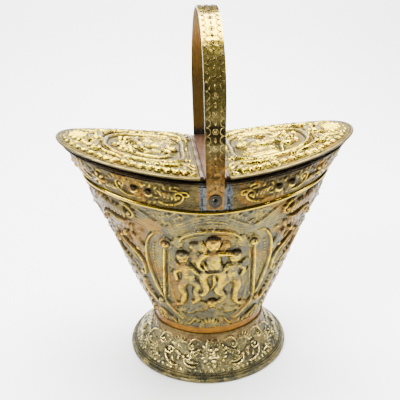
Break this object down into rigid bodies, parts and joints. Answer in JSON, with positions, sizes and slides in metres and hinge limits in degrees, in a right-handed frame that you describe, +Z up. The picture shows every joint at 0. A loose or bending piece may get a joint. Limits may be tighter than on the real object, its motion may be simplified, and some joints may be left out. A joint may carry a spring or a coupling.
{
  "type": "coal scuttle",
  "caption": "Embossed brass coal scuttle: flared oval foot, fan-shaped tub with a saddle rim, two hinged lids on a centre bar and a fixed overhead strap handle.",
  "frame": {"origin": "under the middle of the foot, on the surface that the scuttle stands on", "axes": "+Z up, +X to the right along the two lids, -Y the front with a handle rivet"},
  "size_m": [0.42, 0.2308, 0.521],
  "materials": {
    "embossed_brass": "embossed sheet brass, polished high points over a grey-brown patina",
    "copper_toned_band": "plain reddish sheet brass with streaky tarnish",
    "bright_brass": "worn bright half-round wire",
    "pale_brass": "pale embossed sheet brass with dark recesses",
    "dark_brass": "tarnished plain brass",
    "rivet_metal": "dull grey-brown brass",
    "iron_wire": "drawn iron wire",
    "lead_solder": "dull grey soft solder"
  },
  "bodies": {
    "scuttle": {"foot_skirt": "embossed_brass", "foot_wire": "iron_wire", "neck_ring": "dark_brass", "neck_band": "copper_toned_band", "tub_floor": "dark_brass", "body_front": "embossed_brass", "body_back": "embossed_brass", "collar_bead": "bright_brass", "collar_front": "embossed_brass", "collar_back": "embossed_brass", "rim_rope": "bright_brass", "rim_lip": "dark_brass", "centre_bar": "copper_toned_band", "hinge_pin_left": "iron_wire", "hinge_pin_right": "iron_wire", "handle_strap": "embossed_brass", "handle_backing": "copper_toned_band", "rivet_washers": "rivet_metal", "handle_rivets": "rivet_metal", "rivet_burrs": "copper_toned_band", "handle_solder": "lead_solder"},
    "left_lid": {"lid_left": "pale_brass", "lid_edge_left": "pale_brass", "lid_hinge_left": "dark_brass"},
    "right_lid": {"lid_right": "pale_brass", "lid_edge_right": "pale_brass", "lid_hinge_right": "dark_brass"}
  },
  "joints": [
    {"name": "left_lid_hinge", "type": "hinge", "parent": "scuttle", "child": "left_lid", "pos_m": [-0.0163, 0, 0.3217], "axis": [0, 1, 0], "range_deg": [0, 76]},
    {"name": "right_lid_hinge", "type": "hinge", "parent": "scuttle", "child": "right_lid", "pos_m": [0.0163, 0, 0.3217], "axis": [0, -1, 0], "range_deg": [0, 76]}
  ]
}
